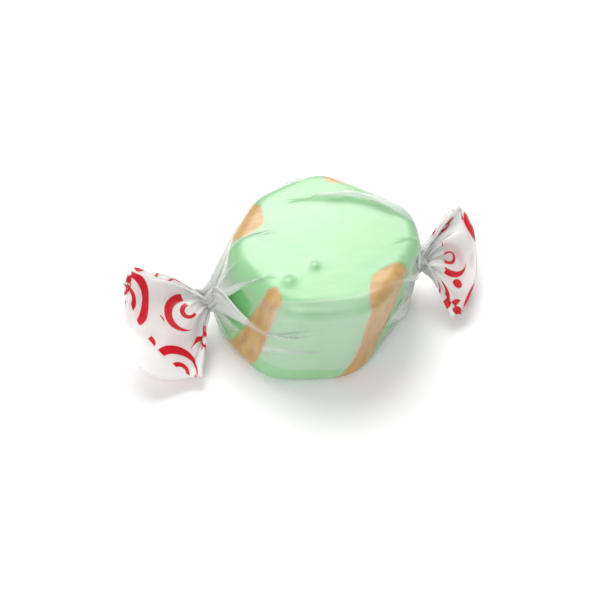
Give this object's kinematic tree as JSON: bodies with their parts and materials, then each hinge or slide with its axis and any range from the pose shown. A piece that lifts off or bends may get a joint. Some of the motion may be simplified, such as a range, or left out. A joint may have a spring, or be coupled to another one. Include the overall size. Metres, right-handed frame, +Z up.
{
  "type": "salt water taffy",
  "caption": "Thick round piece of soft green taffy with caramel stripes at its rim, wrapped in translucent waxed paper twisted shut at both ends.",
  "frame": {"origin": "middle of the flat underside, where the wrapped piece rests", "axes": "+X along the line from the left twist to the right twist, +Z up through the round faces, -Y the side that the picture shows"},
  "size_m": [0.0592, 0.029, 0.0165],
  "materials": {
    "green_taffy": "smooth, soft, slightly waxy",
    "caramel_taffy": "smooth, soft, slightly waxy",
    "waxed_paper": "thin translucent waxed paper, satin"
  },
  "bodies": {
    "root": {"taffy": "green_taffy", "caramel_stripe_1": "caramel_taffy", "caramel_stripe_2": "caramel_taffy", "caramel_stripe_3": "caramel_taffy", "caramel_stripe_4": "caramel_taffy", "wrapper": "waxed_paper"}
  },
  "joints": []
}
